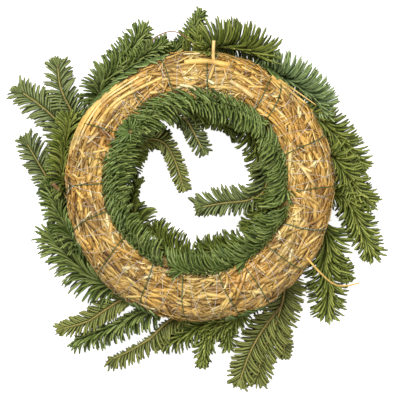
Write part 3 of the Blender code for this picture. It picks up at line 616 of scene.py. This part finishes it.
def dress_twig(build, chance, twig, entry, tone):
    """A twig with its bark, its bud and all its needles."""
    add_bark(build, twig)
    kind = KINDS[entry.kind]
    bare = kind.bare / twig.length
    # the rows along it
    steps = int((1 - bare) * twig.length / kind.step)
    step, row = np.meshgrid(np.arange(steps), np.arange(kind.rows), indexing="ij")
    step = (step + 0.5 * (row % 2) + chance.uniform(-0.22, 0.22, step.shape)).ravel()
    part = np.clip(bare + (1 - bare) * step / steps, bare, 1)
    turn = np.linspace(kind.low, kind.high, kind.rows)[row].ravel() + chance.normal(0, 5, part.shape)
    middle, way, away, side = twig.at(part)
    lean = np.radians(turn)
    out = np.cos(lean)[:, None] * away + np.sin(lean)[:, None] * side
    closing = 24 * np.clip((part - 0.8) / 0.2, 0, 1)
    crown = np.clip(-np.cos(lean), 0, 1)
    sweep = kind.sweep * (1 - CROWN_LOW * crown) - closing + chance.normal(0, 4, part.shape)
    long = entry.length * (1 + (entry.taper - 1) * part)
    far = long * entry.far_side
    base = middle + out * (0.6 * TWIG_ROOT)
    if entry.kind == "shoulder":
        far = np.minimum(far, edge_reach(base))
        add_mantle(build, chance, entry.start - 2, entry.start - 2 - MANTLE_SPAN, tone)
    if entry.kind == "lining":
        far = hole_reach(base)
    over = np.clip(-np.sin(lean), 0, 1)
    long = (long * (1 - over) + far * over) * chance.uniform(0.88, 1.06, part.shape)
    long *= np.clip(0.6 + (part - bare) * twig.length / 0.02, 0, 1)
    top = unit([0, 0, kind.face] + 0.45 * way + chance.normal(0, 0.22, way.shape))
    first = toward(sweep - kind.bend, way, out)
    last = toward(sweep + kind.bend, way, out)
    # painted light and shade: needles paler the further up their row points, darker the further down
    add_needles(build, chance, base, first, last, top, long, tone + ROW_FACING_PAINTED_SHADE * out[:, 2])
    # the ones round its end
    number = TIP_NEEDLES
    middle, way, away, side = (np.repeat(line, number, axis=0) for line in twig.at(np.array([0.99])))
    lean = np.radians(np.arange(number) * 137.5 + chance.uniform(0, 20, number))[:, None]
    out = np.cos(lean) * away + np.sin(lean) * side
    sweep = chance.uniform(12, 40, number)
    long = entry.length * entry.taper * chance.uniform(0.55, 0.80, number)
    long *= np.where(np.sin(lean[:, 0]) < 0, min(1, 0.5 + 0.5 * entry.far_side), 1)
    top = unit([0, 0, kind.face] + 0.5 * out + chance.normal(0, 0.2, way.shape))
    first = toward(sweep, way, out)
    last = toward(sweep + 10, way, out)
    add_needles(build, chance, middle, first, last, top, long, tone)


def make_spray(number, name, tone, twigs, materials):
    chance = np.random.default_rng(1000 + number)
    build = Build()
    first = None
    for entry in twigs:
        if isinstance(entry, Fork):
            root = first.rings[round(entry.part * (len(first.rings) - 1))]
            twig = Twig([root] + [ring_point(*point) for point in entry.points])
        else:
            twig = Twig(stem_route(entry.start, entry.section, entry.run, entry.points))
            first = twig
        dress_twig(build, chance, twig, entry, tone)
    piece = build.make(name + "_needles", materials)
    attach(piece, "root")
    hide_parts(name)
    return piece


def all_sprays():
    """(name, tone, yellow, twigs) of every spray."""
    for number, (tone, yellow, *twigs) in enumerate(OUTER):
        yield f"outer_spray_{number + 1:02d}", tone, yellow, twigs
    for number, (tone, yellow, *twigs) in enumerate(SPRIGS):
        yield f"inner_sprig_{number + 1}", tone, yellow, twigs
    for kind, row in ROWS.items():
        for number, (start, section, run) in enumerate(row.stems):
            stagger = FACE_STAGGER * (number % 2 - 0.5) if kind == "face_spray" else 0
            points = [(start + turn, radius + stagger, height) for turn, radius, height in row.points]
            twigs = [Stem(row.kind, row.length, start, section, run, points)]
            yield f"{kind}_{number + 1}", row.tone, row.yellow, twigs


def make_sprays():
    twig = twig_material()
    greens = {}
    for yellow in (0, 1, 2):
        warm = yellow / 2
        greens[yellow] = needle_material(
            f"needles_{yellow}",
            (0.012 + 0.010 * warm, 0.027 + 0.006 * warm, 0.006 - 0.002 * warm),
            (0.090 + 0.036 * warm, 0.150 + 0.016 * warm, 0.040 - 0.014 * warm),
            (0.220 + 0.060 * warm, 0.300 + 0.020 * warm, 0.130 - 0.050 * warm),
            (0.200 + 0.060 * warm, 0.280 + 0.010 * warm, 0.120 - 0.050 * warm),
        )
    for number, (name, tone, yellow, twigs) in enumerate(all_sprays()):
        green = greens[min(2, round(yellow * 3))]
        piece = make_spray(number, name, tone, twigs, [green, twig])


# ---- straw ----

CORE_INSET = 0.0018
STRAW_RINGS = 6
STALK_THICK = 0.0013

# Layers of straw: how many pieces, how long, how wide, how far astray in degrees, how high they
# lie, how much their ends lift, how much brighter they are, and the share that is flat like leaf.
# The bed's darker value is painted shade on the straw lying deepest; the others are the straw's own paler tones
Layer = collections.namedtuple("Layer", "name count long wide stray high lift brighter leafy")
LAYERS = (
    Layer("straw_bed", 1500, (0.020, 0.060), (0.0025, 0.0060), 18, (-0.0012, -0.0003), 0.0002, -0.10, 0.85),
    Layer("straw_stalks", 950, (0.010, 0.050), (0.0020, 0.0060), 20, (-0.0003, 0.0006), 0.0007, 0.0, 0.75),
    Layer("straw_chips", 600, (0.005, 0.016), (0.0012, 0.0040), 45, (0.0003, 0.0010), 0.0012, 0.20, 0.9),
    Layer("straw_chaff", 900, (0.006, 0.026), (0.0003, 0.0008), 50, (0.0004, 0.0013), 0.0011, 0.05, 0.0),
)


# Sections of the long straws that lie side by side on the upper left of the ring
PARALLEL = (12, 22, 31, 41, 52, 66)


def straw_tone(angle):
    """Straw is browner on the left and paler at the top."""
    a = np.radians(angle)
    return 0.52 + 0.05 * np.cos(a) + 0.06 * np.sin(2 * a + 0.6) + 0.05 * np.sin(9 * a)


def flow(angle, section):
    """How far the straw's lay strays from that of the ring, in degrees."""
    a = np.radians(angle)
    s = np.radians(section)
    return 9 * np.sin(5 * a + 1.5 * np.sin(s)) + 6 * np.sin(13 * a - 2 * s + 1)


def lay_straws(build, chance, layer):
    """One layer of straws on the surface of the ring."""
    count = layer.count
    angle = chance.uniform(0, 360, count)
    back = chance.random(count) < 0.75
    section = np.where(back, chance.uniform(-35, 215, count), chance.uniform(-100, 280, count))
    length = chance.uniform(*layer.long, count)
    off = np.radians(flow(angle, section) + chance.normal(0, layer.stray, count))
    part = np.linspace(-0.5, 0.5, STRAW_RINGS)[None, :]
    round_by = np.degrees(part * (length * np.sin(off))[:, None] / TUBE_RADIUS)
    sections = section[:, None] + round_by
    radius = RING_RADIUS + TUBE_RADIUS * np.cos(np.radians(sections))
    angles = angle[:, None] + np.degrees(part * (length * np.cos(off))[:, None] / radius)
    height = chance.uniform(*layer.high, count)[:, None]
    ends = (np.abs(2 * part) ** 4) * chance.gamma(1.2, layer.lift, count)[:, None]
    ends *= np.where(part < 0, chance.random(count)[:, None], chance.random(count)[:, None])
    centres = round_tube(angles, sections, TUBE_RADIUS + bulge(angles, sections) + height + ends)
    ways = unit(np.gradient(centres, axis=1))
    up = unit(from_tube(centres))
    side = unit(np.cross(ways, up))
    roll = chance.normal(0, 0.17, count)[:, None, None]
    turned_side = np.cos(roll) * side + np.sin(roll) * up
    turned_up = np.cos(roll) * up - np.sin(roll) * side
    width = chance.uniform(*layer.wide, count)[:, None, None]
    leafy = chance.random(count)[:, None, None] < layer.leafy
    thick = np.where(leafy, 0.10 * width, np.minimum(0.6 * width, STALK_THICK))
    taper = np.where(leafy, 1 - 0.45 * np.abs(2 * part[..., None]) ** 3, 1.0)
    # layer.brighter: for the bed a painted shade on the deepest straw
    shade = straw_tone(angle) + chance.normal(0, 0.19, count) + layer.brighter
    looks = np.zeros((count, STRAW_RINGS, 4, 3))
    looks[..., 0] = np.clip(shade, 0, 1)[:, None, None]
    looks[..., 1] = ((part + 0.5) * length[:, None])[..., None] + angle[:, None, None]
    looks[..., 2] = np.array([0.0, 0.5, 1.0, 0.5]) + chance.uniform(0, 9, count)[:, None, None]
    add_strips(
        build, centres, 0.5 * width * taper * turned_side, 0.5 * thick * taper * turned_up, looks
    )


def loose_straw(build, points, radius, shade, sides=8, taper=1.0):
    path = smooth(points, 0.0025)
    along = np.linspace(0, 1, len(path))
    looks = np.stack([np.full(len(path), shade), along * 0.2, np.full(len(path), 3.0)], axis=1)
    add_tube(build, path, radius * (1 - (1 - taper) * along), sides, looks)


def hollow_end(build, points, radius, shade):
    """A straw whose last end is cut and open."""
    path = smooth(points, 0.0025)
    ways = unit(np.gradient(path, axis=0))
    up = from_tube(path)
    side = unit(np.cross(ways, up))
    up = np.cross(side, ways)
    turn = math.tau * np.arange(12) / 12
    ring = np.cos(turn)[None, :, None] * up[:, None] + np.sin(turn)[None, :, None] * side[:, None]
    rows = [path[:, None] + radius * ring]
    rows.append((path[-1] + 0.78 * radius * ring[-1])[None])
    rows.append((path[-4] + 0.74 * radius * ring[-4])[None])
    verts = np.concatenate(rows)
    looks = np.zeros((len(verts), 12, 3))
    looks[..., 0] = shade
    # painted shade: the inside of the open end is drawn near black
    looks[-2:, :, 0] = 0.02
    looks[..., 1] = np.linspace(0, 0.2, len(verts))[:, None]
    looks[..., 2] = 2 * np.abs(np.sin(turn))[None]
    build.add(verts, grid_faces(len(verts), 12), looks)


def make_straw():
    straw = straw_material()
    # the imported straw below
    build = Build()
    angle, section = np.meshgrid(np.arange(0, 360, 1.5), np.arange(0, 360, 6.0), indexing="ij")
    verts = round_tube(angle, section, TUBE_RADIUS - CORE_INSET + bulge(angle, section))
    rows, sides = angle.shape
    row, side = np.meshgrid(np.arange(rows), np.arange(sides), indexing="ij")
    a = (row * sides + side).ravel()
    b = (row * sides + (side + 1) % sides).ravel()
    c = ((row + 1) % rows * sides + (side + 1) % sides).ravel()
    d = ((row + 1) % rows * sides + side).ravel()
    build.add(verts, [np.stack([a, d, c, b], axis=1)], np.zeros((rows * sides, 3)))
    core = build.make("straw_core", [core_material()])
    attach(core, "root")
    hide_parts("straw_ring")
    # the straws on it
    chance = np.random.default_rng(7)
    pieces = []
    for layer in LAYERS:
        build = Build()
        lay_straws(build, chance, layer)
        pieces.append(build.make(layer.name, [straw]))
    # the ones that stand out
    build = Build()
    loose_straw(
        build,
        [round_tube(82, 58, TUBE_RADIUS), round_tube(84, 46, 0.0290), ring_point(84.5, 0.136, 0.080)],
        0.0016, 0.85,
    )
    hollow_end(
        build,
        [round_tube(97, 50, 0.0252), round_tube(88, 52, 0.0268), round_tube(76, 54, 0.0274)],
        0.0026, 0.72,
    )
    loose_straw(
        build,
        [round_tube(74, 86, 0.0262), round_tube(66, 93, 0.0272), round_tube(59, 98, 0.0268)],
        0.0021, 0.92,
    )
    loose_straw(
        build,
        [round_tube(56, 22, 0.0258), ring_point(46, 0.1262, 0.063), ring_point(35, 0.1325, 0.066)],
        0.0013, 0.66, taper=0.3,
    )
    loose_straw(
        build,
        [round_tube(57, 30, 0.0260), ring_point(47, 0.1225, 0.066), ring_point(38, 0.1255, 0.069)],
        0.0018, 0.62, taper=0.5,
    )
    loose_straw(
        build,
        [
            round_tube(-33.5, 40, 0.0240),
            ring_point(-35.5, 0.137, 0.071),
            ring_point(-36.0, 0.154, 0.068),
            ring_point(-34.0, 0.165, 0.066),
            ring_point(-31.0, 0.174, 0.064),
        ],
        0.0011, 0.70, taper=0.6,
    )
    for k, section in enumerate(PARALLEL):
        start = 170 - 3 * k
        loose_straw(
            build,
            [
                round_tube(start, section - 4, 0.0252), round_tube(start - 12, section, 0.0266),
                round_tube(start - 24, section + 3, 0.0268), round_tube(start - 36 - 2 * k, section + 8, 0.0254),
            ],
            0.0013 + 0.0002 * (k % 3), 0.62 + 0.09 * (k % 4), taper=0.8,
        )
    pieces.append(build.make("straw_loose", [straw]))
    for piece in pieces:
        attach(piece, "root")


# ---- winding ----

WIRE_TURNS = (
    (53.5, 40.6), (22.9, 19.2), (1.3, -4.8), (-18.5, -25.6), (-38.0, -43.5), (-58.5, -61.2),
    (-71.6, -80.2), (-94.9, -103.7), (-115.3, -123.4), (-137.4, -149.4), (-160.5, -167.9),
    (-178.3, -184.6), (-206.3, -217.7), (-233.1, -236.5), (-252.6, -255.5), (-272.2, -276.1),
    (-302.7, -306.7),
)
WIRE_RADIUS = 0.00042
WIRE_LIFT = 0.0017
THREAD_RADIUS = 0.00016
THREAD_TURNS = 15
THREAD_STRANDS = 3


def make_winding():
    stops = [angle for turn in WIRE_TURNS for angle in turn]
    halves = np.arange(len(stops)) * 180.0
    sections = np.arange(0, halves[-1] + 1, 9.0)
    angles = np.interp(sections, halves, stops)
    angles += 0.35 * np.sin(np.radians(sections * 3.3))
    face = np.clip(-np.sin(np.radians(sections)), 0, 1)
    lift = WIRE_LIFT + 0.0032 * face + bulge(angles, sections)
    points = round_tube(angles, sections, TUBE_RADIUS + lift)
    build = Build()
    add_tube(build, points, WIRE_RADIUS, 6, np.zeros((len(points), 3)))
    wire = build.make("green_wire", [plain_material("lacquered_wire", (0.035, 0.085, 0.022), 0.35, 500.0)])
    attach(wire, "root")
    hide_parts("winding_wire")
    # the thread that binds the straw
    build = Build()
    for strand in range(2 * THREAD_STRANDS):
        direction = 1 if strand < THREAD_STRANDS else -1
        start = strand * 360 / THREAD_TURNS / THREAD_STRANDS
        sections = np.arange(0, 360 * THREAD_TURNS, 15.0)
        angles = start + direction * sections / THREAD_TURNS
        angles += 0.5 * np.sin(sections * 0.013) + 0.6 * np.sin(sections * 0.031 + start)
        lift = 0.0011 + 0.0006 * np.sin(sections * 0.017 + start) + bulge(angles, sections)
        points = round_tube(angles, sections, TUBE_RADIUS + lift)
        add_tube(build, points, THREAD_RADIUS, 3, np.zeros((len(points), 3)))
    thread = build.make("binding_thread", [plain_material("pale_thread", (0.72, 0.68, 0.58), 0.5, 300.0)])
    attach(thread, "root")


# ---- stage ----


def make_oddments():
    """Bare bits of fir that the sprays don't hold: a thin arched stem, a cut butt and a tuft."""
    bark = twig_material()
    needles = needle_material(
        "needles_edge", (0.03, 0.045, 0.008), (0.10, 0.16, 0.035), (0.24, 0.31, 0.12), (0.22, 0.28, 0.10)
    )
    build = Build()
    arch = smooth(
        [
            ring_point(109, 0.140, 0.048), ring_point(106.8, 0.146, 0.052),
            ring_point(100.9, 0.148, 0.056), ring_point(96.4, 0.1427, 0.058),
            ring_point(91.2, 0.1300, 0.060),
        ],
        0.003,
    )
    add_tube(build, arch, 0.0006, 6, np.tile([0.0, 0.5, 1.0], (len(arch), 1)), 1)
    butt = smooth([ring_point(181.5, 0.1310, 0.056), ring_point(180, 0.1345, 0.058), ring_point(178.8, 0.1375, 0.060)], 0.002)
    add_tube(build, butt, 0.0017, 9, np.tile([0.05, 0.5, 0.6], (len(butt), 1)), 1)
    chance = np.random.default_rng(77)
    # needles of the upper left sprays that lie over the straw's outer edge
    for low, high, number, long in EDGE_TUFTS:
        angle = chance.uniform(low, high, number)
        base = round_tube(angle, chance.uniform(-12, 14, number), 0.0285)
        forward = unit(np.cross(base - [RING_X, RING_Y, base[0, 2]], [0, 0, 1]))
        inward = unit(np.array([RING_X, RING_Y, 0]) - base * [1, 1, 0])
        lean = np.radians(chance.normal(48, 9, number))[:, None]
        first = unit(np.cos(lean) * forward + np.sin(lean) * (0.45 * inward + [0, 0, 0.9]))
        last = unit(np.cos(lean) * forward + np.sin(lean) * (1.0 * inward + [0, 0, 0.1]))
        top = unit([0, 0, 1] + chance.normal(0, 0.25, (number, 3)))
        add_needles(build, chance, base, first, last, top, long * chance.uniform(0.8, 1.1, number), 0.55)
    # a tuft on the straw, round the bud of a hidden side twig
    number = 46
    middle = np.repeat(round_tube(np.array([141.5]), np.array([124.0]), 0.0310), number, axis=0)
    up = unit(from_tube(middle))
    along = unit(np.cross(up, [0, 0, 1]))
    across = np.cross(along, up)
    turn = np.radians(np.arange(number) * 137.5)[:, None]
    flat = np.cos(turn) * along + np.sin(turn) * across
    rise = np.radians(chance.uniform(2, 42, number))[:, None]
    first = np.cos(rise) * flat + np.sin(rise) * up
    top = unit(up + chance.normal(0, 0.3, (number, 3)))
    add_needles(build, chance, middle, first, flat, top, chance.uniform(0.011, 0.016, number), 0.5)
    bud = middle[:5] + up[:5] * np.array([-0.001, 0.0005, 0.002, 0.0035, 0.0045])[:, None]
    add_tube(build, bud, np.array([0.0010, 0.0017, 0.0018, 0.0012, 0.0003]), 8, np.tile([1.0, 0.5, 1.0], (5, 1)), 1, along[:5])
    piece = build.make("fir_oddments", [needles, bark])
    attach(piece, "root")


def make_stage():
    size = 3.0
    mesh = bpy.data.meshes.new("floor")
    mesh.from_pydata(
        [(-size, -size, -0.0003), (size, -size, -0.0003), (size, size, -0.0003), (-size, size, -0.0003)],
        [],
        [(0, 1, 2, 3)],
    )
    floor = bpy.data.objects.new("floor", mesh)
    bpy.context.scene.collection.objects.link(floor)
    material = bpy.data.materials.new("pale_floor")
    material.use_nodes = True
    tree = material.node_tree
    shader = tree.nodes["Principled BSDF"]
    shader.inputs["Base Color"].default_value = (0.6, 0.6, 0.6, 1)
    shader.inputs["Roughness"].default_value = 0.9
    shader.inputs["Specular IOR Level"].default_value = 0.1
    shader.inputs["Emission Color"].default_value = (1, 1, 1, 1)
    shader.inputs["Emission Strength"].default_value = 0.90
    mesh.materials.append(material)
    floor.visible_diffuse = False
    floor.visible_glossy = False

    world = bpy.data.worlds.new("studio")
    bpy.context.scene.world = world
    world.use_nodes = True
    world.node_tree.nodes["Background"].inputs[0].default_value = (1, 1, 1, 1)
    world.node_tree.nodes["Background"].inputs[1].default_value = 0.55

    for name, place, width, power in (
        ("key", (-0.45, 0.75, 1.6), 0.7, 34.0),
        ("fill", (0.9, -0.5, 1.3), 1.2, 8.0),
    ):
        light = bpy.data.lights.new(name, "AREA")
        light.size = width
        light.energy = power
        lamp = bpy.data.objects.new(name, light)
        bpy.context.scene.collection.objects.link(lamp)
        lamp.location = place
        toward = np.array([0, 0, 0.03]) - np.array(place)
        flat = math.hypot(toward[0], toward[1])
        lamp.rotation_euler = (math.atan2(flat, -toward[2]), 0, math.atan2(-toward[0], toward[1]))

    camera = bpy.data.cameras.new("camera")
    camera.sensor_width = SENSOR
    camera.lens = SENSOR * (CAMERA_HEIGHT - VIEW_HEIGHT) / VIEW_WIDTH
    camera.clip_end = 20
    holder = bpy.data.objects.new("camera", camera)
    bpy.context.scene.collection.objects.link(holder)
    holder.location = (VIEW_X, VIEW_Y, CAMERA_HEIGHT)
    bpy.context.scene.camera = holder
    bpy.context.scene.view_settings.view_transform = "Standard"


make_stage()
make_sprays()
make_straw()
make_winding()
make_oddments()
